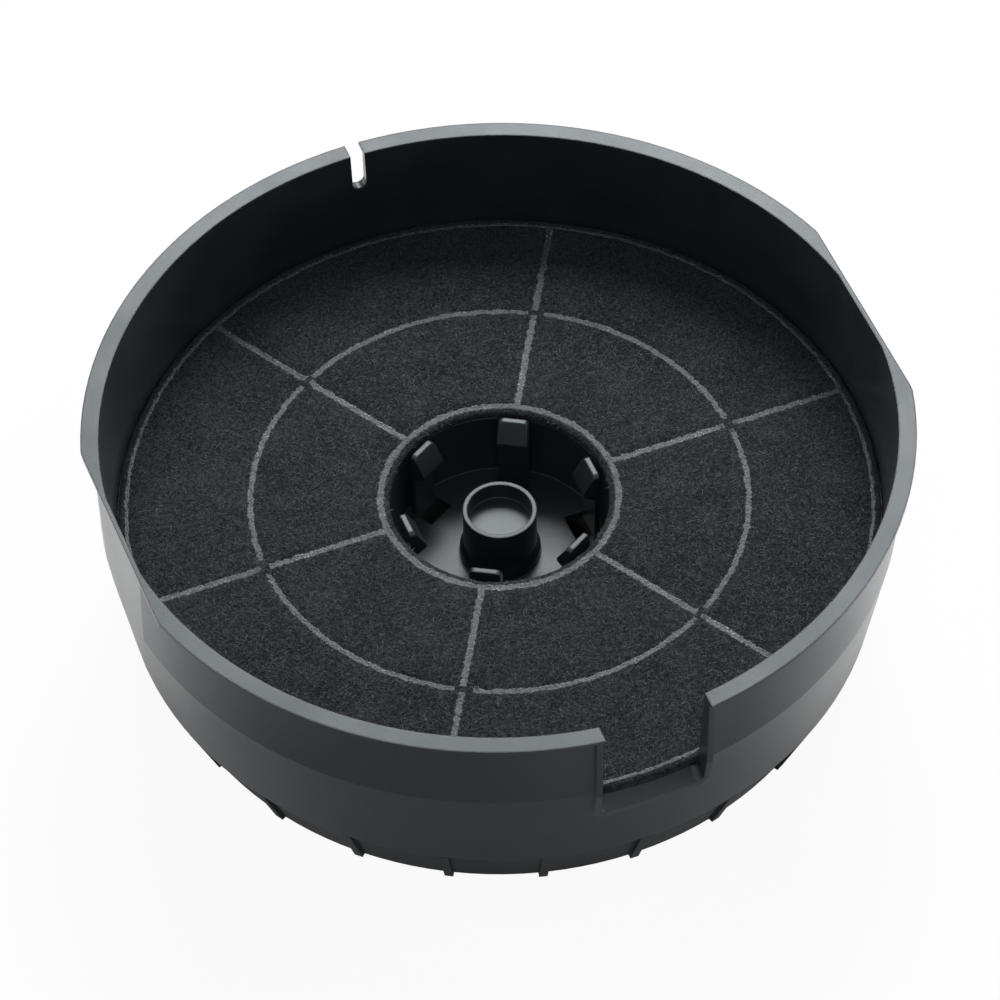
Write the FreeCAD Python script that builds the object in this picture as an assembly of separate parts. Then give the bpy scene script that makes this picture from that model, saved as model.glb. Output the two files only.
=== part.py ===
import FreeCAD, Part
import math
import os

# Round carbon filter for a cooker hood: a deep plastic housing with a skirt around its top,
# a grille that closes its underside, and a bed of carbon granules in compartments between two
# sheets of felt. The origin is on the filter's axis, in the plane that the grille stands on.
# +Z points out of the skirt, -Y points at the wide notch and +Y at the narrow slit.

# Overall size
rim_radius = 95.0
total_height = 64.0

# Outer wall of the housing, from the rim down to the seam with the grille
lip_width = 2.7
lip_thickness = 0.8
skirt_flare = 0.2
shoulder_height = 42.0
shoulder_step = 1.1
crease_height = 35.0
seam_height = 15.2
bed_flare = 3.1

# Inner face of the skirt, and the thicker wall around the carbon bed
rim_wall = 4.1
skirt_wall = 2.7
bed_wall_top = 4.6
bed_wall_bottom = 2.5

# Carbon bed and felt
bed_top = 36.0
felt_thickness = 2.0
felt_edge_gap = 0.3
weld_depth = 0.5
weld_width = 2.4
edge_weld_width = 1.7
granule_gap = 0.3
lower_felt_thickness = 1.6

# Walls that divide the bed into compartments
compartments = 6
partition_wall = 2.0
partition_root = 0.8
mid_ring_share = 0.6074

# Hub pit, and the blind socket with its collar in the middle of it
pit_radius = 25.5
pit_wall = 2.5
pit_floor_top = 18.0
pit_floor_thickness = 1.8
socket_bore_radius = 7.6
socket_wall = 1.0
socket_height = 14.7
socket_depth = 4.5
socket_floor = 1.8
collar_width = 0.9
collar_height = 2.3
collar_slope = 1.7

# Snap hooks along the pit's wall, and the windows in the floor under their noses
hook_thickness = 1.2
hook_wall_gap = 1.9
hook_width = 7.2
hook_nose = 2.8
hook_slope = 5.0
hook_land = 0.9
hook_undercut = 2.2
hook_corner_round = 1.2
window_depth = 4.7
window_side_gap = 0.2

# Flat finger grips on the two sides of the skirt
grip_depth = 3.8
grip_wall = 1.1
grip_blend_radius = 20.0
grip_blend_overrun = 0.3

# Notch with its raised border, and the slit opposite
notch_width = 24.8
notch_floor_drop = 0.4
notch_corner = 2.0
notch_floor_fall = 0.45
border_width = 1.5
border_floor_width = 3.2
border_proud = 0.3
slit_width = 3.5
slit_depth = 10.3
slit_corner = 1.7

# Grille under the bed, with the spigot that enters the housing
spokes = 24
spoke_width = 2.0
grille_thickness = 3.2
bar_recess = 1.0
bar_width = 1.8
bar_count = 2
band_taper = 6.0
band_recess = 0.9
band_wall = 2.2
outer_ring_width = 7.0
hub_ring_inset = 1.5
hub_ring_lip = 1.0
spigot_height = 3.0
spigot_wall = 2.0
spigot_gap = 0.3

# How far cutting tools run past what they cut
overlap = 1.0

# Worked out from the sizes above
lip_bottom = total_height - lip_thickness
skirt_radius = rim_radius - lip_width
shoulder_radius = skirt_radius - skirt_flare
crease_radius = shoulder_radius - shoulder_step
seam_radius = crease_radius - bed_flare
felt_top = bed_top + felt_thickness
mid_ring_radius = mid_ring_share * rim_radius
compartment_angle = 360.0 / compartments
spoke_angle = 360.0 / spokes
pit_wall_radius = pit_radius + pit_wall
lower_felt_top = grille_thickness + lower_felt_thickness
base_radius = seam_radius - band_taper
hub_ring_outer = pit_wall_radius + hub_ring_lip
outer_ring_inner = base_radius - outer_ring_width
notch_floor = bed_top - notch_floor_drop


def line_at(height, low, high):
    """Radius at a height on the straight line through two (radius, height) points."""
    return low[0] + (height - low[1]) / (high[1] - low[1]) * (high[0] - low[0])


def wall_radius(height):
    """Outer radius of the housing at a height."""
    crease = (crease_radius, crease_height)
    shoulder = (shoulder_radius, shoulder_height)
    if height >= shoulder_height:
        return line_at(height, shoulder, (skirt_radius, lip_bottom))
    if height >= crease_height:
        return line_at(height, crease, shoulder)
    return line_at(height, (seam_radius, seam_height), crease)


def corner_radius(flat_radius):
    """Corner radius of an outline with one flat side between each two spokes."""
    return flat_radius / math.cos(math.radians(spoke_angle / 2))


def bed_corner(height):
    """Corner radius of the housing's flat-sided inner wall beside the bed."""
    top = (corner_radius(wall_radius(bed_top) - bed_wall_top), bed_top)
    bottom = (corner_radius(seam_radius - bed_wall_bottom), seam_height)
    return line_at(height, bottom, top)


skirt_inner_bottom = wall_radius(bed_top) - skirt_wall
felt_radius = skirt_inner_bottom - felt_edge_gap
mid_ring_corner = (mid_ring_radius + corner_radius(mid_ring_radius)) / 2
spigot_outer = bed_corner(seam_height) - corner_radius(spigot_gap)
spigot_inner = spigot_outer - corner_radius(spigot_wall)
spigot_top = seam_height + spigot_height


def band_outer(height):
    """Outer radius of the grille's sloping band between its spokes."""
    return line_at(height, (base_radius, 0), (seam_radius, seam_height)) - band_recess


def band_inner(height):
    """Inner corner radius of the grille's sloping band and its spigot."""
    low = (band_outer(grille_thickness) - band_wall, grille_thickness)
    return line_at(height, low, (spigot_inner, spigot_top))


def vec(x, y, z):
    return FreeCAD.Vector(x, y, z)


def wire_through(points):
    """Closed wire of straight edges. A point given as a pair of points is an arc's middle and end."""
    edges = []
    here = points[0]
    for step in points[1:] + [points[0]]:
        if isinstance(step, tuple):
            edges.append(Part.Arc(here, step[0], step[1]).toShape())
            here = step[1]
        elif (step - here).Length > 1e-6:
            edges.append(Part.LineSegment(here, step).toShape())
            here = step
    return Part.Wire(edges)


def turned(points):
    """Solid of revolution about Z from (radius, height) points."""
    face = Part.Face(wire_through([vec(r, 0, z) for r, z in points]))
    return face.revolve(vec(0, 0, 0), vec(0, 0, 1), 360)


def faceted(sections):
    """Solid with one flat side between each two spokes, from (corner radius, height) sections."""
    turns = [math.radians(index * spoke_angle) for index in range(spokes)]
    outlines = []
    for radius, height in sections:
        outlines.append([vec(radius * math.cos(turn), radius * math.sin(turn), height) for turn in turns])
    faces = [Part.Face(wire_through(outlines[0])), Part.Face(wire_through(outlines[-1]))]
    for low, high in zip(outlines, outlines[1:]):
        for index in range(spokes):
            side = [low[index - 1], low[index], high[index], high[index - 1]]
            faces.append(Part.Face(wire_through(side)))
    return Part.makeSolid(Part.makeShell(faces))


def faceted_ring(inner, outer, low, high):
    """Ring of straight walls that meet in the middle of each spoke, from its corner radii."""
    whole = faceted([(outer, low), (outer, high)])
    return whole.cut(faceted([(inner, low - overlap), (inner, high + overlap)]))


def spun(shape, angle):
    """Copy of a shape turned about Z."""
    copy = shape.copy()
    copy.rotate(vec(0, 0, 0), vec(0, 0, 1), angle)
    return copy


def spun_set(shape, count):
    """Copies of a shape, evenly spaced about Z."""
    return [spun(shape, index * 360.0 / count) for index in range(count)]


def radial_plate(points, thickness):
    """Upright plate on +X from (radius, height) points, centred on the XZ plane."""
    wire = wire_through([vec(r, -thickness / 2, z) for r, z in points])
    return Part.Face(wire).extrude(vec(0, thickness, 0))


def arc_point(centre, radius, degrees):
    """Point on an arc in the XZ plane."""
    angle = math.radians(degrees)
    return vec(centre.x + radius * math.cos(angle), 0, centre.z + radius * math.sin(angle))


def slot_outline(width, low, high, corner):
    """Outline in the XZ plane of an upright slot with rounded lower corners."""
    half = width / 2
    left = vec(corner - half, 0, low + corner)
    right = vec(half - corner, 0, low + corner)
    return wire_through([
        vec(-half, 0, high),
        arc_point(left, corner, 180),
        (arc_point(left, corner, 225), arc_point(left, corner, 270)),
        arc_point(right, corner, 270),
        (arc_point(right, corner, 315), arc_point(right, corner, 360)),
        vec(half, 0, high),
    ])


def slot_tool(outline, fall):
    """Prism of an XZ outline that runs out through the skirt towards +Y, falling as it goes."""
    start = math.sqrt(skirt_inner_bottom ** 2 - notch_width ** 2 / 4) - overlap
    reach = rim_radius + overlap - start
    tool = Part.Face(outline).extrude(vec(0, reach, -reach * fall))
    tool.translate(vec(0, start, (skirt_inner_bottom - start) * fall))
    return tool


def grip_prism(offset):
    """Plan of the skirt as a tall prism: a circle with two straight chords that blend into it."""
    circle = rim_radius + grip_blend_overrun
    blend = grip_blend_radius
    centre_x = offset - blend
    centre_y = math.sqrt((circle - blend) ** 2 - centre_x ** 2)
    turn = math.atan2(centre_y, centre_x)
    touch = vec(circle * math.cos(turn), circle * math.sin(turn), 0)
    halfway = vec(centre_x + blend * math.cos(turn / 2), centre_y + blend * math.sin(turn / 2), 0)
    points = [
        vec(offset, -centre_y, 0),
        vec(offset, centre_y, 0),
        (halfway, touch),
        (vec(0, circle, 0), vec(-touch.x, touch.y, 0)),
        (vec(-halfway.x, halfway.y, 0), vec(-offset, centre_y, 0)),
        vec(-offset, -centre_y, 0),
        (vec(-halfway.x, -halfway.y, 0), vec(-touch.x, -touch.y, 0)),
        (vec(0, -circle, 0), vec(touch.x, -touch.y, 0)),
        (vec(halfway.x, -halfway.y, 0), vec(offset, -centre_y, 0)),
    ]
    return Part.Face(wire_through(points)).extrude(vec(0, 0, total_height + overlap))


def outer_form():
    """Solid outer form of the housing, with the lip around its rim and the two flats."""
    form = turned([
        (0, seam_height),
        (seam_radius, seam_height),
        (crease_radius, crease_height),
        (shoulder_radius, shoulder_height),
        (skirt_radius, lip_bottom),
        (rim_radius, lip_bottom),
        (rim_radius, total_height),
        (0, total_height),
    ])
    return form.common(grip_prism(rim_radius - grip_depth))


def cavity_form():
    """Space inside the skirt, above the bed."""
    rim_inner = rim_radius - rim_wall
    form = turned([
        (0, bed_top),
        (skirt_inner_bottom, bed_top),
        (rim_inner, total_height),
        (rim_inner, total_height + overlap),
        (0, total_height + overlap),
    ])
    return form.common(grip_prism(rim_radius - grip_depth - grip_wall))


def border_block():
    """Raised border of the notch, with a flat sloping front, before the notch is cut."""
    width = notch_width + 2 * border_width
    low = notch_floor - border_floor_width
    block = slot_tool(slot_outline(width, low, lip_bottom, notch_corner + border_width), 0)
    front = Part.Face(wire_through([
        vec(-width / 2, skirt_inner_bottom, low),
        vec(-width / 2, wall_radius(low) + border_proud, low),
        vec(-width / 2, crease_radius + border_proud, crease_height),
        vec(-width / 2, shoulder_radius + border_proud, shoulder_height),
        vec(-width / 2, skirt_radius + border_proud, lip_bottom),
        vec(-width / 2, skirt_inner_bottom, lip_bottom),
    ]))
    return block.common(front.extrude(vec(width, 0, 0)))


def bed_space():
    """Hollow of the whole bed, open below and above."""
    below = seam_height - overlap
    above = bed_top + overlap
    return faceted([(bed_corner(below), below), (bed_corner(above), above)])


def partitions():
    """Ring and radial walls that divide the bed, standing on the lower felt."""
    half = corner_radius(partition_wall / 2)
    mid_ring = faceted_ring(mid_ring_corner - half, mid_ring_corner + half, lower_felt_top, bed_top)
    in_pit_wall = pit_wall_radius - partition_root
    above_spigot = spigot_top + granule_gap
    plate = radial_plate([
        (in_pit_wall, lower_felt_top),
        (band_inner(lower_felt_top) - overlap, lower_felt_top),
        (spigot_inner - overlap, above_spigot),
        (bed_corner(above_spigot) + partition_root, above_spigot),
        (bed_corner(bed_top) + partition_root, bed_top),
        (in_pit_wall, bed_top),
    ], partition_wall)
    return [mid_ring] + spun_set(plate, compartments)


def hub_pit():
    """Wall, floor and blind socket of the pit in the middle, before its windows are cut."""
    wall_corner = corner_radius(pit_wall_radius)
    block = faceted([(wall_corner, grille_thickness), (wall_corner, bed_top)])
    cup_floor = pit_floor_top + socket_height - socket_depth
    socket_radius = socket_bore_radius + socket_wall
    above = turned([
        (0, cup_floor),
        (socket_bore_radius, cup_floor),
        (socket_bore_radius, pit_floor_top + socket_height),
        (socket_radius, pit_floor_top + socket_height),
        (socket_radius, pit_floor_top + collar_height + collar_slope),
        (socket_radius + collar_width, pit_floor_top + collar_height),
        (socket_radius + collar_width, pit_floor_top),
        (pit_radius, pit_floor_top),
        (pit_radius, bed_top + overlap),
        (0, bed_top + overlap),
    ])
    core_radius = socket_radius - socket_floor
    core_top = cup_floor - socket_floor
    floor_bottom = pit_floor_top - pit_floor_thickness
    below = turned([
        (0, grille_thickness - overlap),
        (pit_radius, grille_thickness - overlap),
        (pit_radius, floor_bottom),
        (core_radius, floor_bottom),
        (core_radius, core_top),
        (0, core_top),
    ])
    return block.cut([above, below])


def snap_hook():
    """One snap hook on +X: a springy stem with a wedge nose that faces the axis."""
    back = pit_radius - hook_wall_gap
    face = back - hook_thickness
    nose_top = felt_top - hook_slope
    in_floor = pit_floor_top - pit_floor_thickness / 2
    hook = radial_plate([
        (face, in_floor),
        (back, in_floor),
        (back, felt_top),
        (face, felt_top),
        (face - hook_nose, nose_top),
        (face - hook_nose, nose_top - hook_land),
        (face, nose_top - hook_land - hook_undercut),
    ], hook_width)
    corners = []
    for edge in hook.Edges:
        box = edge.BoundBox
        if box.YLength < 1e-6 and box.ZMin > felt_top - 1e-6:
            corners.append(edge)
    return hook.makeFillet(hook_corner_round, corners)


def hook_window():
    """Opening in the pit floor under one hook's nose."""
    width = hook_width + 2 * window_side_gap
    face = pit_radius - hook_wall_gap - hook_thickness
    window = Part.makeBox(window_depth, width, pit_floor_thickness + 2 * overlap)
    window.translate(vec(face - window_depth, -width / 2, pit_floor_top - pit_floor_thickness - overlap))
    return window


def housing():
    """The housing as moulded: skirt, bed walls, hub pit, hooks and socket in one piece."""
    body = outer_form().fuse(spun(border_block(), 180))
    body = body.cut(Part.Compound([cavity_form(), bed_space()]))
    body = body.fuse(partitions() + [hub_pit()])
    above = total_height + (rim_radius - skirt_inner_bottom) * notch_floor_fall + overlap
    notch = slot_outline(notch_width, notch_floor, above, notch_corner)
    slit = slot_outline(slit_width, total_height - slit_depth, above, slit_corner)
    windows = spun_set(hook_window(), compartments)
    body = body.cut(windows + [spun(slot_tool(notch, notch_floor_fall), 180), slot_tool(slit, 0)])
    return body.fuse(spun_set(snap_hook(), compartments)).removeSplitter()


def grille_band():
    """Sloping band of the grille, its flat outer ring, and the spigot above the seam."""
    band = turned([
        (0, bar_recess),
        (band_outer(bar_recess), bar_recess),
        (band_outer(seam_height), seam_height),
        (0, seam_height),
    ])
    spigot = faceted([(spigot_outer, seam_height - overlap), (spigot_outer, spigot_top)])
    above = spigot_top + overlap
    room = faceted([(band_inner(grille_thickness), grille_thickness), (band_inner(above), above)])
    middle = faceted([(outer_ring_inner, 0), (outer_ring_inner, seam_height)])
    return band.fuse(spigot).cut([room, middle])


def bottom_grille():
    """Grille of spokes and straight bars inside its sloping band, in one piece."""
    hub_ring_inner = pit_radius - hub_ring_inset
    pieces = [faceted_ring(hub_ring_inner, hub_ring_outer, 0, grille_thickness)]
    pitch = (outer_ring_inner - hub_ring_outer) / (bar_count + 1)
    for index in range(bar_count):
        middle = hub_ring_outer + (index + 1) * pitch
        low, high = middle - bar_width / 2, middle + bar_width / 2
        pieces.append(faceted_ring(low, high, bar_recess, grille_thickness))
    in_hub_ring = (hub_ring_inner + hub_ring_outer) / 2
    rib = radial_plate([
        (in_hub_ring, 0),
        (base_radius, 0),
        (seam_radius, seam_height),
        (spigot_outer, seam_height),
        (band_inner(grille_thickness) + band_wall / 2, grille_thickness),
        (in_hub_ring, grille_thickness),
    ], spoke_width)
    return grille_band().fuse(pieces + spun_set(rib, spokes)).removeSplitter()


def top_felt():
    """Upper felt, pressed down at its edges and along its welds to the walls of the bed."""
    low_top = felt_top - weld_depth
    half = weld_width / 2
    felt = turned([
        (pit_radius, bed_top),
        (felt_radius, bed_top),
        (felt_radius - edge_weld_width, felt_top),
        (mid_ring_radius + half, felt_top),
        (mid_ring_radius, low_top),
        (mid_ring_radius - half, felt_top),
        (pit_wall_radius, felt_top),
    ])
    groove = Part.Face(wire_through([
        vec(pit_radius, -half, felt_top),
        vec(pit_radius, 0, low_top),
        vec(pit_radius, half, felt_top),
    ])).extrude(vec(felt_radius - pit_radius, 0, 0))
    return felt.cut(spun_set(groove, compartments))


def bottom_felt():
    """Lower felt, lying on the grille's bars under the granules."""
    inner = corner_radius(pit_wall_radius + granule_gap)
    outer = band_inner(grille_thickness) - corner_radius(granule_gap)
    return faceted_ring(inner, outer, grille_thickness, lower_felt_top)


def compartment_wedge():
    """Wedge of space between the first two radial walls, clear of both by the granules' gap."""
    half = math.radians(compartment_angle / 2)
    inset = (partition_wall / 2 + granule_gap) / math.sin(half)
    reach = 2 * rim_radius
    corner = vec(inset, 0, 0)
    low = vec(inset + reach * math.cos(half), -reach * math.sin(half), 0)
    high = vec(inset + reach * math.cos(half), reach * math.sin(half), 0)
    wedge = Part.Face(wire_through([corner, low, high])).extrude(vec(0, 0, total_height))
    return spun(wedge, compartment_angle / 2)


def carbon_charges():
    """Granule charges by name, one for each compartment of the bed."""
    gap = corner_radius(granule_gap)
    beside_ring = corner_radius(partition_wall / 2 + granule_gap)
    mid_inner = mid_ring_corner - beside_ring
    mid_outer = mid_ring_corner + beside_ring
    top = bed_top - granule_gap
    inner = faceted_ring(corner_radius(pit_wall_radius + granule_gap), mid_inner, lower_felt_top, top)
    outer = faceted([
        (band_inner(lower_felt_top) - gap, lower_felt_top),
        (spigot_inner - gap, spigot_top),
        (bed_corner(top) - gap, top),
    ]).cut(faceted([(mid_outer, 0), (mid_outer, total_height)]))
    charges = {}
    wedge = compartment_wedge()
    for place, whole in {"inner": inner, "outer": outer}.items():
        for index, charge in enumerate(spun_set(whole.common(wedge), compartments)):
            charges["carbon_%s_%d" % (place, index + 1)] = charge
    return charges


def main():
    os.makedirs("parts", exist_ok=True)
    nodes = {
        "housing": housing(),
        "bottom_grille": bottom_grille(),
        "top_felt": top_felt(),
        "bottom_felt": bottom_felt(),
    }
    nodes.update(carbon_charges())
    for name, shape in nodes.items():
        shape.exportStep("parts/%s.step" % name)
        print(name, "solids", len(shape.Solids), "volume", round(shape.Volume), "valid", shape.isValid())


main()
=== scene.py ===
import math
import random

import bmesh
import bpy
from mathutils import Matrix, Vector, noise


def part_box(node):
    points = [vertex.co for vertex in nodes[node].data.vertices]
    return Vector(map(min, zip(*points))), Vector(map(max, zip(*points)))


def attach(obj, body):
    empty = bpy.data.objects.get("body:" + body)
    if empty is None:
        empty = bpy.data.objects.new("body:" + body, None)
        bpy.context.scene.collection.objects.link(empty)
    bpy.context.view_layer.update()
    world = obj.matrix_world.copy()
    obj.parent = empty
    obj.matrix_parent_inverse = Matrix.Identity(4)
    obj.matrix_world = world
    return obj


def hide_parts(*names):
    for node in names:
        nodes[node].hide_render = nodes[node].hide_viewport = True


# Cooker hood carbon filter: the moulded housing and grille with satin plastic finishes, the
# needled fleece with its loose fibres and fused weld lines, and the fleece behind the grille.

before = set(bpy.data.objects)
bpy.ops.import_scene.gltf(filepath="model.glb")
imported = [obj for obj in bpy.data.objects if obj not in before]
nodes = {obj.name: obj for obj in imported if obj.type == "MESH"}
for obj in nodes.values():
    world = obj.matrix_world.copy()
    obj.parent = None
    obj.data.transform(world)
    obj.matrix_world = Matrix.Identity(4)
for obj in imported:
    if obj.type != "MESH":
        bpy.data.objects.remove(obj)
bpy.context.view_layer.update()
scene = bpy.context.scene
scene.view_settings.view_transform = "Standard"

MM = 0.001
SEED = 7

# Upper fleece. The drops at its edges are in millimetres, and so are the (size, height) pairs of
# the noise layers that make it uneven.
FELT_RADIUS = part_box("top_felt")[1].x
FELT_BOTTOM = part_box("top_felt")[0].z
FELT_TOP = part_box("top_felt")[1].z
PIT_RADIUS = 25.5 * MM
PIT_EDGE_DROP = 0.8
OUTER_EDGE_DROP = 0.5
SWELL = ((16, 0.28), (6, 0.12))
NAP = ((1.7, 0.09), (0.8, 0.05))
EDGE_WOBBLE = 0.25 * MM
WOBBLE_PITCH = 30

# Welds that press the upper fleece onto the walls of the bed
HUB_WELD = 27.6 * MM
MID_WELD = 57.7 * MM
EDGE_WELD = FELT_RADIUS - 1.8 * MM
SPOKES = 6
SPOKE_TURN = 2 * math.pi / SPOKES
WELD_DEPTH = 0.35 * MM
WELD_REACH = 1.4 * MM
WELD_WIDTH = 1.9 * MM
WELD_STEP = 0.24 * MM
WELD_COLUMNS = 8
WELD_WIDTHS = {"hub": 0.95, "mid": 0.85, "edge": 0.55, "spoke": 0.95}
# Brightness of each weld's strip with its painted highlights; the hub weld is painted dimmest, as
# shade near the hub.
WELD_STRENGTHS = {"hub": 0.8, "mid": 0.9, "edge": 0.9, "spoke": 1.0}
CROSSING_GAP = 2.2 * MM
CROSSING_PRESS = 0.35

# Loose fibres: how many, and the ranges of their lengths and widths
FIBRE_STEPS = 3
FLEECE_FIBRES = 32000
FLEECE_FIBRE_LENGTH = (0.4 * MM, 1.5 * MM)
FLEECE_FIBRE_WIDTH = (0.04 * MM, 0.08 * MM)
WELD_FIBRES = 4500
WELD_FIBRE_LENGTH = (0.2 * MM, 0.8 * MM)
WELD_FIBRE_WIDTH = (0.05 * MM, 0.10 * MM)

# Lower fleece, seen through the grille: its rise and its (size, height) pairs are in millimetres
LOWER_FELT_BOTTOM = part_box("bottom_felt")[0].z
LOWER_FELT_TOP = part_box("bottom_felt")[1].z
LOWER_FELT_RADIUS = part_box("bottom_felt")[1].x - 0.7 * MM
LOWER_FELT_HOLE = 28.7 * MM
LOWER_FELT_RISE = 0.05
LOWER_FELT_SAG = ((7, 0.04), (1.6, 0.024))

# Camera at the photograph's viewing angle, in metres, degrees and millimetres of lens and sensor
CAMERA_PLACE = Vector((-0.2663, -0.6933, 0.9097))
CAMERA_HEADING = 68.98
CAMERA_PITCH = 49.63
CAMERA_ROLL = -0.90
CAMERA_LENS = 178.2
CAMERA_SENSOR = 36

# Studio: the lamps' common target, the faint light from all sides, and the floor with the shares
# of pure white that the camera and mirrored rays see of it
LAMP_TARGET = Vector((0, 0, 0.03))
AMBIENT = 0.1
FLOOR_SIZE = 3.0
FLOOR_HEIGHT = -0.2 * MM
FLOOR_GREY = 0.9
FLOOR_SEEN = 0.93
FLOOR_MIRRORED = 0.03

# Slight blue of the dark plastic and of the fleece
PLASTIC_TINT = (0.76, 1.0, 1.24)
PLASTIC_GLOSS_TINT = (0.88, 0.96, 1.0, 1)
FLEECE_TINT = (0.84, 1.0, 1.14)

# Plastic: rounding of its edges, and the flat angles between which its gleam comes in
EDGE_ROUNDING = 0.55 * MM
GLEAM_FROM = 0.53
GLEAM_FULL = 0.79


def new_material(name, level, roughness):
    """A material of one grey level, with its node tree and its shader."""
    material = bpy.data.materials.new(name)
    material.use_nodes = True
    shader = material.node_tree.nodes["Principled BSDF"]
    shader.inputs["Base Color"].default_value = (level, level, level, 1)
    shader.inputs["Roughness"].default_value = roughness
    return material, material.node_tree, shader


def add_node(tree, kind, inputs=None, **settings):
    """A shader node with its settings, and its inputs as values or as sockets to link."""
    node = tree.nodes.new(kind)
    for key, value in settings.items():
        setattr(node, key, value)
    for key, value in (inputs or {}).items():
        if isinstance(value, bpy.types.NodeSocket):
            tree.links.new(value, node.inputs[key])
        else:
            node.inputs[key].default_value = value
    return node


def object_place(tree):
    """Place on the object, in metres."""
    return add_node(tree, "ShaderNodeTexCoord").outputs["Object"]


def shade_attribute(tree):
    """The shade that set_shades stored in the mesh."""
    return add_node(tree, "ShaderNodeAttribute", attribute_name="shade").outputs["Fac"]


def noise_texture(tree, place, scale, detail, roughness=0.5):
    return add_node(tree, "ShaderNodeTexNoise", {
        "Vector": place, "Scale": scale, "Detail": detail, "Roughness": roughness})


def map_range(tree, value, from_range, to_range=(0.0, 1.0)):
    """A value moved from one range to another, and held at its ends."""
    node = add_node(tree, "ShaderNodeMapRange", {
        "Value": value, "From Min": from_range[0], "From Max": from_range[1],
        "To Min": to_range[0], "To Max": to_range[1]})
    return node.outputs["Result"]


def weighted(tree, parts):
    """Sum of sockets, each times its weight."""
    total = 0.0
    for socket, weight in parts:
        node = add_node(tree, "ShaderNodeMath", {0: socket, 1: weight, 2: total},
                        operation="MULTIPLY_ADD")
        total = node.outputs["Value"]
    return total


def set_colour(tree, shader, value, stops, tint=FLEECE_TINT):
    """Base colour from a ramp through (position, grey level) stops, each level tinted."""
    node = add_node(tree, "ShaderNodeValToRGB", {"Fac": value})
    while len(node.color_ramp.elements) < len(stops):
        node.color_ramp.elements.new(0.5)
    for element, (position, level) in zip(node.color_ramp.elements, stops):
        element.position = position
        element.color = (level * tint[0], level * tint[1], level * tint[2], 1)
    tree.links.new(node.outputs["Color"], shader.inputs["Base Color"])


def set_bump(tree, shader, inputs, invert=False):
    """Surface relief from a bump node with these inputs."""
    bump = add_node(tree, "ShaderNodeBump", inputs, invert=invert)
    tree.links.new(bump.outputs["Normal"], shader.inputs["Normal"])


def plastic(name, level, roughness, specular, polished):
    """Satin moulded plastic: rounded edges, fine grain and cloudy gloss.

    Polished plastic also gleams where it is seen at a flat angle.
    """
    material, tree, shader = new_material(name, level, roughness)
    shader.inputs["Specular IOR Level"].default_value = specular
    shader.inputs["Specular Tint"].default_value = PLASTIC_GLOSS_TINT
    place = object_place(tree)
    cloud = noise_texture(tree, place, 55.0, 5.0).outputs["Fac"]
    fine = noise_texture(tree, place, 1600.0, 2.0).outputs["Fac"]
    set_colour(tree, shader, cloud, [(0.3, level * 0.85), (0.7, level * 1.15)], PLASTIC_TINT)
    mottle = weighted(tree, [(cloud, 0.7), (fine, 0.3)])
    gloss = map_range(tree, mottle, (0.35, 0.65), (roughness - 0.04, roughness + 0.05))
    tree.links.new(gloss, shader.inputs["Roughness"])
    edges = add_node(tree, "ShaderNodeBevel", {"Radius": EDGE_ROUNDING}, samples=4)
    set_bump(tree, shader, {"Height": fine, "Strength": 0.5, "Distance": 0.03 * MM,
                            "Normal": edges.outputs["Normal"]})
    if polished:
        facing = add_node(tree, "ShaderNodeLayerWeight", {"Blend": 0.5}).outputs["Facing"]
        gleam = map_range(tree, facing, (GLEAM_FROM, GLEAM_FULL))
        tree.links.new(gleam, shader.inputs["Coat Weight"])
        shader.inputs["Coat Roughness"].default_value = 0.3
    return material


def fleece(name, dark, light):
    """Needled fleece: matted fibres in short swirls, with dark pores between them."""
    material, tree, shader = new_material(name, light, 0.95)
    shader.inputs["Specular IOR Level"].default_value = 0.2
    place = object_place(tree)
    swirl = noise_texture(tree, place, 420.0, 1.0).outputs["Color"]
    shift = add_node(tree, "ShaderNodeVectorMath", {0: swirl, 1: (0.5, 0.5, 0.5)},
                     operation="SUBTRACT").outputs["Vector"]
    drift = add_node(tree, "ShaderNodeVectorMath", {0: shift, "Scale": 2.4 * MM},
                     operation="SCALE").outputs["Vector"]
    bent = add_node(tree, "ShaderNodeVectorMath", {0: place, 1: drift}).outputs["Vector"]
    matted = noise_texture(tree, bent, 1500.0, 3.0, 0.6).outputs["Fac"]
    pores = noise_texture(tree, place, 2900.0, 1.0).outputs["Fac"]
    patches = noise_texture(tree, place, 90.0, 3.0).outputs["Fac"]
    nap = weighted(tree, [(matted, 0.7), (pores, 0.3)])
    tone = weighted(tree, [(nap, 0.85), (patches, 0.15)])
    set_colour(tree, shader, tone, [(0.41, dark), (0.5, (dark + light) / 2.4), (0.61, light)])
    set_bump(tree, shader, {"Height": nap, "Strength": 0.8, "Distance": 0.2 * MM})
    return material


def fibre_finish(name, dark, light):
    """Single fibres, each with its own shade."""
    material, tree, shader = new_material(name, light, 0.6)
    set_colour(tree, shader, shade_attribute(tree), [(0.0, dark), (1.0, light)])
    return material


def weld_finish():
    """Fleece fused by the weld: half glossy, with pale flecks. Its pale colour is partly its own
    and partly the painted highlights in the shades that weld_beads stores.
    """
    material, tree, shader = new_material("fused_fleece", 0.1, 0.5)
    spots = noise_texture(tree, object_place(tree), 1900.0, 2.0, 0.6).outputs["Fac"]
    fleck = map_range(tree, spots, (0.46, 0.64))
    tone = add_node(tree, "ShaderNodeMath", {0: shade_attribute(tree), 1: fleck},
                    operation="MULTIPLY").outputs["Value"]
    set_colour(tree, shader, tone, [(0.0, 0.014), (0.2, 0.028), (0.5, 0.12), (0.8, 0.42)])
    set_bump(tree, shader, {"Height": spots, "Strength": 1.0, "Distance": 0.2 * MM})
    return material


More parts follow.
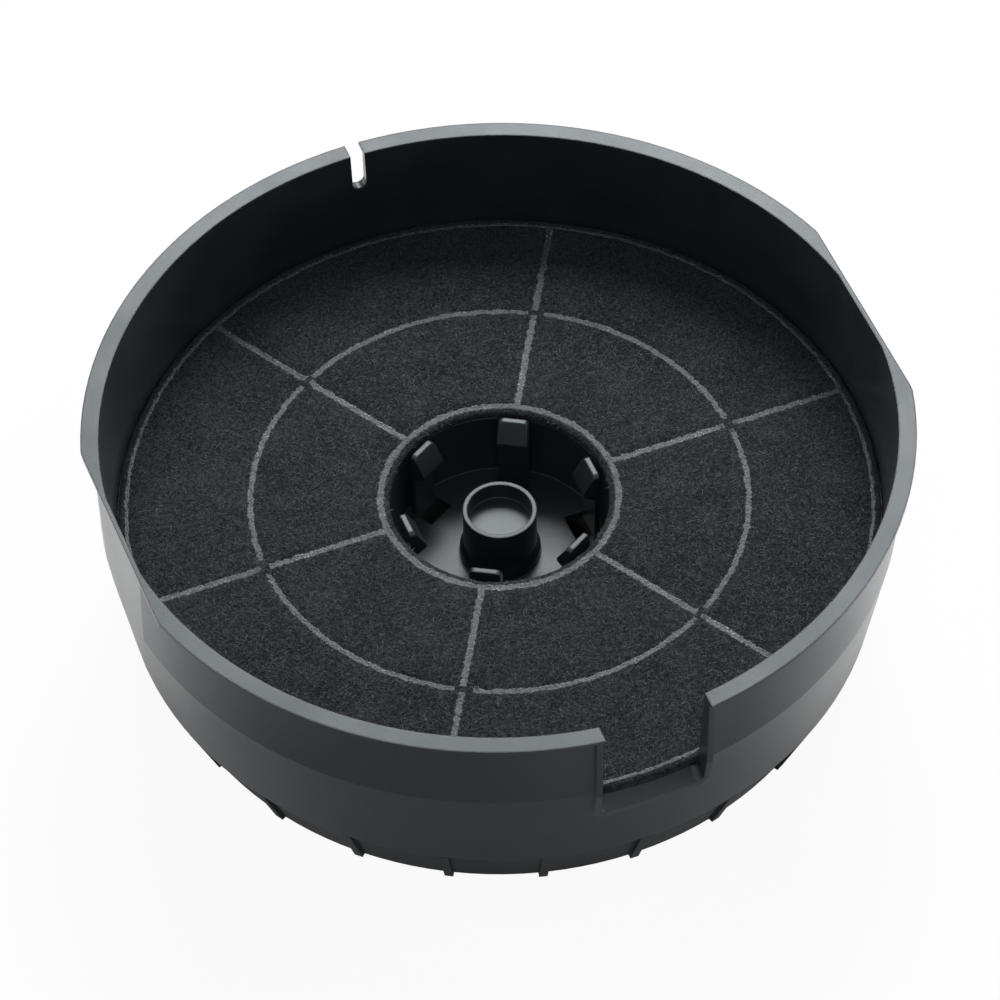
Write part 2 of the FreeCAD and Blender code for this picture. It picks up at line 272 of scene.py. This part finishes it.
def granule_finish():
    """Crushed carbon: dark grains, each painted lighter at its middle as a highlight and darker at
    its edges as shade between the grains.
    """
    material, tree, shader = new_material("carbon_granules", 0.01, 0.55)
    grains = add_node(tree, "ShaderNodeTexVoronoi", {
        "Vector": object_place(tree), "Scale": 420.0}).outputs["Distance"]
    # Painted highlight at the middle of each grain, and painted shade at its edges, between the
    # grains.
    set_colour(tree, shader, grains, [(0.0, 0.022), (0.8, 0.004)])
    set_bump(tree, shader, {"Height": grains, "Strength": 1.0, "Distance": 0.8 * MM}, invert=True)
    return material


def set_material(obj, material):
    obj.data.materials.clear()
    obj.data.materials.append(material)


def new_piece(name, points, faces, material):
    """A smooth mesh piece of fleece that belongs to the filter."""
    mesh = bpy.data.meshes.new(name)
    mesh.from_pydata(points, [], faces)
    mesh.update()
    mesh.polygons.foreach_set("use_smooth", [True] * len(mesh.polygons))
    mesh.materials.append(material)
    piece = bpy.data.objects.new(name, mesh)
    scene.collection.objects.link(piece)
    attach(piece, "root")
    return piece


def set_shades(piece, shades):
    """Stores one shade for each point of a piece, which its finish reads."""
    attribute = piece.data.attributes.new("shade", "FLOAT", "POINT")
    attribute.data.foreach_set("value", shades)


def on_circle(radius, turn):
    return radius * math.cos(turn), radius * math.sin(turn)


def smooth_step(value, low, high):
    share = min(max((value - low) / (high - low), 0), 1)
    return share * share * (3 - 2 * share)


def waves(place, layers):
    """Sum of noise layers, each given as (size, height), at a place in millimetres."""
    return sum(noise.noise(place / size) * height for size, height in layers)


def spoke_offset(x, y):
    """Distance from a point to the nearest of the radial welds."""
    turn = math.atan2(y, x) % SPOKE_TURN
    return math.hypot(x, y) * math.sin(min(turn, SPOKE_TURN - turn))


def pressed(x, y):
    """How far the welds press the upper fleece down at a point, from 0 to 1."""
    radius = math.hypot(x, y)
    spoke = spoke_offset(x, y)
    offsets = [radius - ring for ring in (HUB_WELD, MID_WELD, EDGE_WELD)] + [spoke]
    depth = max(math.exp(-(offset / WELD_REACH) ** 2) for offset in offsets)
    crossing = math.hypot(radius - MID_WELD, spoke)
    clear = smooth_step(crossing, 0.5 * CROSSING_GAP, 1.3 * CROSSING_GAP)
    return depth * (CROSSING_PRESS + (1 - CROSSING_PRESS) * clear)


def felt_height(x, y):
    """Height of the upper fleece: pressed at the welds, slightly puffed and uneven between them."""
    place = Vector((x, y, 0)) / MM
    weld = pressed(x, y)
    radius = math.hypot(x, y)
    pit_side = smooth_step(radius, PIT_RADIUS - 0.3 * MM, HUB_WELD - 0.5 * MM)
    outer_side = smooth_step(radius, EDGE_WELD + 0.7 * MM, FELT_RADIUS)
    drop = PIT_EDGE_DROP * (1 - pit_side) + OUTER_EDGE_DROP * outer_side
    puff = waves(place, SWELL) * (1 - weld) + waves(place, NAP)
    return FELT_TOP + (puff - drop) * MM - weld * WELD_DEPTH


def lower_felt_height(x, y):
    """Height of the lower fleece's visible face, which is its underside."""
    place = Vector((x, y, 0)) / MM
    return LOWER_FELT_BOTTOM + (LOWER_FELT_RISE - waves(place, LOWER_FELT_SAG)) * MM


def fleece_disc(name, inner, outer, flat_side, height, material, rings, turns):
    """Closed disc of fleece with a hole: one face at height(x, y), the other flat."""
    points, faces = [], []
    for ring in range(rings + 1):
        radius = inner + (outer - inner) * ring / rings
        ragged = EDGE_WOBBLE if ring in (0, rings) else 0
        for step in range(turns):
            turn = 2 * math.pi * step / turns
            edge_place = Vector((math.cos(turn), math.sin(turn), ring)) * WOBBLE_PITCH
            x, y = on_circle(radius + ragged * noise.noise(edge_place), turn)
            points.append((x, y, height(x, y)))
    for x, y, _ in points[:turns] + points[-turns:]:
        points.append((x, y, flat_side))
    for ring in range(rings):
        row, next_row = ring * turns, (ring + 1) * turns
        for step in range(turns):
            after = (step + 1) % turns
            faces.append((row + step, next_row + step, next_row + after, row + after))
    rim = rings * turns
    flat_inner = rim + turns
    flat_outer = flat_inner + turns
    for step in range(turns):
        after = (step + 1) % turns
        faces.append((flat_inner + step, step, after, flat_inner + after))
        faces.append((rim + step, flat_outer + step, flat_outer + after, rim + after))
        faces.append((flat_outer + step, flat_inner + step, flat_inner + after, flat_outer + after))
    return new_piece(name, points, faces, material)


def loose_fibres(name, count, place_fibre, material, length, width, seed):
    """Many short curved fibres as thin ribbons on the upper fleece.

    place_fibre gives a start point and a heading. A fibre is widest and highest in the middle.
    """
    rng = random.Random(seed)
    points, faces, shades = [], [], []
    for _ in range(count):
        x, y, heading = place_fibre(rng)
        curl = rng.uniform(-0.9, 0.9)
        step = rng.uniform(*length) / FIBRE_STEPS
        half = rng.uniform(*width) / 2
        shade = rng.random() ** 1.6
        lift = rng.uniform(0.02, 0.12) * MM
        base = len(points)
        for index in range(FIBRE_STEPS + 1):
            middle = 0 < index < FIBRE_STEPS
            side = Vector((-math.sin(heading), math.cos(heading))) * half * (1 if middle else 0.5)
            z = felt_height(x, y) + lift * (1.6 if middle else 0.6)
            points += [(x + side.x, y + side.y, z), (x - side.x, y - side.y, z)]
            shades += [shade, shade]
            x += math.cos(heading) * step
            y += math.sin(heading) * step
            heading += curl / FIBRE_STEPS
        for index in range(FIBRE_STEPS):
            a = base + 2 * index
            faces.append((a, a + 1, a + 3, a + 2))
    set_shades(new_piece(name, points, faces, material), shades)


def felt_fibre_place(rng):
    """A random fibre anywhere on the upper fleece, following the swirls of the needling."""
    low, high = PIT_RADIUS + 0.2 * MM, FELT_RADIUS - 1 * MM
    radius = math.sqrt(rng.uniform(low ** 2, high ** 2))
    x, y = on_circle(radius, rng.uniform(0, 2 * math.pi))
    drift = noise.noise(Vector((x, y, 0)) / (9 * MM))
    return x, y, 6 * drift + rng.gauss(0, 0.9)


def even_steps(low, high, count):
    return [low + (high - low) * k / count for k in range(count + 1)]


def weld_paths():
    """Centre lines of the welds as (name, points) pairs, with gaps where they would cross."""
    rng = random.Random(SEED)
    paths = []
    rings = (("hub", HUB_WELD, 0), ("mid", MID_WELD, CROSSING_GAP), ("edge", EDGE_WELD, 0))
    for name, radius, gap in rings:
        for index in range(SPOKES):
            start = index * SPOKE_TURN + gap * rng.uniform(0.6, 1.1) / radius
            end = (index + 1) * SPOKE_TURN - gap * rng.uniform(0.6, 1.1) / radius
            turns = even_steps(start, end, int((end - start) * radius / WELD_STEP))
            paths.append((name, [on_circle(radius, turn) for turn in turns]))
    for index in range(SPOKES):
        across = Vector(on_circle(1, index * SPOKE_TURN))
        gap = CROSSING_GAP * rng.uniform(0.1, 0.7)
        for low, high in ((HUB_WELD, MID_WELD - gap), (MID_WELD + gap, EDGE_WELD)):
            reaches = even_steps(low, high, int((high - low) / WELD_STEP))
            paths.append(("spoke", [tuple(across * reach) for reach in reaches]))
    return paths


def weld_beads(paths, material):
    """Fused strips in the pressed lines: flecked and of uneven width. Their shades paint highlights
    on some stretches, on the raised lumps, and as a line near one edge.
    """
    points, faces, shades = [], [], []
    for name, line in paths:
        base = len(points)
        last = len(line) - 1
        for index, (x, y) in enumerate(line):
            ahead = Vector(line[min(index + 1, last)]) - Vector(line[max(index - 1, 0)])
            side = Vector((-ahead.y, ahead.x)).normalized()
            place = Vector((x, y, 0)) / MM
            width = WELD_WIDTH * WELD_WIDTHS[name] * (1 + 0.4 * noise.noise(place / 0.9))
            sway = 0.25 * MM * noise.noise(place / 2.3 + Vector((9, 0, 0)))
            ends = smooth_step(min(index, last - index), -2, 8)
            # Painted highlight: some stretches of a weld are lighter than others.
            stretch_highlight = 0.72 + waves(place, ((14, 0.6), (3.1, 0.5)))
            strength = WELD_STRENGTHS[name] * ends * stretch_highlight
            lit_side = noise.noise(place / 9 + Vector((0, 0, 5)))
            for column in range(WELD_COLUMNS + 1):
                share = 2 * column / WELD_COLUMNS - 1
                across = share * width / 2 + sway
                px, py = x + side.x * across, y + side.y * across
                lump = noise.noise(Vector((px, py, 0)) / (0.38 * MM))
                swell = 0.10 - 0.16 * share ** 4 + 0.14 * lump
                points.append((px, py, felt_height(px, py) + swell * MM))
                # Painted highlight: a lighter line near one edge of the strip, on the side that a
                # slow noise picks, and lighter raised lumps.
                edge_highlight = math.exp(-((abs(share) - 0.6) / 0.22) ** 2)
                edge_highlight *= 0.5 + lit_side * math.copysign(1, share)
                fade = 1 - smooth_step(abs(share), 0.62, 1.0)
                shades.append(strength * fade * (0.5 + 0.5 * edge_highlight + 0.6 * lump))
        for index in range(last):
            for column in range(WELD_COLUMNS):
                a = base + index * (WELD_COLUMNS + 1) + column
                faces.append((a, a + 1, a + WELD_COLUMNS + 2, a + WELD_COLUMNS + 1))
    set_shades(new_piece("fused_welds", points, faces, material), shades)


def upper_fleece():
    """The upper fleece with its welds and fibres, in place of its plain solid."""
    cloth = fleece("felt_fleece", dark=0.003, light=0.040)
    disc = fleece_disc("upper_fleece", PIT_RADIUS, FELT_RADIUS, FELT_BOTTOM, felt_height, cloth,
                       rings=78, turns=480)
    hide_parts("top_felt")
    paths = weld_paths()
    weld_beads(paths, weld_finish())

    def weld_fibre_place(rng):
        """A fibre that starts beside a weld's centre line and may cross the weld's edge."""
        line = rng.choice(paths)[1]
        x, y = rng.choice(line)
        angle = rng.uniform(0, 2 * math.pi)
        aside = on_circle(rng.uniform(0, 0.9) * MM, angle)
        return x + aside[0], y + aside[1], rng.uniform(0, 2 * math.pi)

    loose_fibres("fleece_fibres", FLEECE_FIBRES, felt_fibre_place,
                 fibre_finish("fibre", dark=0.006, light=0.062),
                 FLEECE_FIBRE_LENGTH, FLEECE_FIBRE_WIDTH, SEED)
    loose_fibres("weld_fibres", WELD_FIBRES, weld_fibre_place,
                 fibre_finish("pale_fibre", dark=0.015, light=0.16),
                 WELD_FIBRE_LENGTH, WELD_FIBRE_WIDTH, SEED + 1)


def lower_fleece():
    """The fleece behind the grille: its visible face is the lower one."""
    cloth = fleece("lower_felt_fleece", dark=0.006, light=0.045)
    disc = fleece_disc("lower_fleece", LOWER_FELT_HOLE, LOWER_FELT_RADIUS, LOWER_FELT_TOP,
                       lower_felt_height, cloth, rings=40, turns=240)
    disc.data.flip_normals()
    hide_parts("bottom_felt")


def make_camera():
    data = bpy.data.cameras.new("camera")
    data.lens = CAMERA_LENS
    data.sensor_width = CAMERA_SENSOR
    camera = bpy.data.objects.new("camera", data)
    scene.collection.objects.link(camera)
    x, y = on_circle(math.cos(math.radians(CAMERA_PITCH)), math.radians(CAMERA_HEADING))
    ahead = Vector((x, y, -math.sin(math.radians(CAMERA_PITCH))))
    roll = Matrix.Rotation(math.radians(CAMERA_ROLL), 3, "Z").to_quaternion()
    camera.rotation_mode = "QUATERNION"
    camera.rotation_quaternion = ahead.to_track_quat("-Z", "Y") @ roll
    camera.location = CAMERA_PLACE
    scene.camera = camera


def make_lamp(name, place, size, power):
    """A soft box that points at the filter."""
    data = bpy.data.lights.new(name, "AREA")
    data.shape = "RECTANGLE"
    data.size, data.size_y = size
    data.energy = power
    lamp = bpy.data.objects.new(name, data)
    lamp.location = place
    lamp.rotation_mode = "QUATERNION"
    lamp.rotation_quaternion = (LAMP_TARGET - Vector(place)).to_track_quat("-Z", "Y")
    scene.collection.objects.link(lamp)


def seen_rays(tree, direct, mirrored):
    """Share for rays that see the surroundings directly, and mirrored or through glass."""
    path = add_node(tree, "ShaderNodeLightPath")
    return weighted(tree, [(path.outputs["Is Camera Ray"], direct),
                           (path.outputs["Is Glossy Ray"], mirrored),
                           (path.outputs["Is Transmission Ray"], mirrored)])


def make_world():
    """White where it is seen or mirrored, and a faint light from all sides."""
    world = bpy.data.worlds.new("studio")
    world.use_nodes = True
    scene.world = world
    tree = world.node_tree
    background = tree.nodes["Background"]
    background.inputs["Color"].default_value = (1, 1, 1, 1)
    strength = map_range(tree, seen_rays(tree, 1.0, 1.0), (0.0, 1.0), (AMBIENT, 1.0))
    tree.links.new(strength, background.inputs["Strength"])


def make_floor():
    """Matt floor: nearly pure white to the camera, and as it is lit in reflections."""
    mesh = bpy.data.meshes.new("floor")
    form = bmesh.new()
    bmesh.ops.create_grid(form, x_segments=1, y_segments=1, size=FLOOR_SIZE)
    form.to_mesh(mesh)
    form.free()
    floor = bpy.data.objects.new("floor", mesh)
    floor.location.z = FLOOR_HEIGHT
    scene.collection.objects.link(floor)
    material, tree, shader = new_material("floor", FLOOR_GREY, 1.0)
    shader.inputs["Specular IOR Level"].default_value = 0.0
    white = add_node(tree, "ShaderNodeEmission", {"Color": (1, 1, 1, 1), "Strength": 1.0})
    mix = add_node(tree, "ShaderNodeMixShader", {
        0: seen_rays(tree, FLOOR_SEEN, FLOOR_MIRRORED),
        1: shader.outputs["BSDF"], 2: white.outputs["Emission"]})
    tree.links.new(mix.outputs["Shader"], tree.nodes["Material Output"].inputs["Surface"])
    mesh.materials.append(material)


def make_studio():
    """White floor and background, and soft boxes behind, beside and in front of the filter."""
    make_world()
    make_floor()
    make_lamp("back_box", (0.60, 1.20, 1.25), (1.1, 0.9), 37)
    make_lamp("left_box", (-1.2, 0.75, 0.3), (0.9, 0.5), 8)
    make_lamp("right_box", (1.4, -0.1, 0.28), (0.9, 0.5), 13)
    make_lamp("front_fill", (-0.45, -1.2, 1.3), (1.2, 1.0), 5.5)


def main():
    make_camera()
    make_studio()
    set_material(nodes["housing"], plastic(
        "housing_satin", level=0.015, roughness=0.36, specular=0.4, polished=True))
    # The grille's plastic is darker than the housing's: partly its own colour, partly painted shade
    # at the foot of the filter.
    set_material(nodes["bottom_grille"], plastic(
        "grille_satin", level=0.007, roughness=0.42, specular=0.22, polished=False))
    granules = granule_finish()
    for name, node in nodes.items():
        if name.startswith("carbon_"):
            set_material(node, granules)
    upper_fleece()
    lower_fleece()


main()
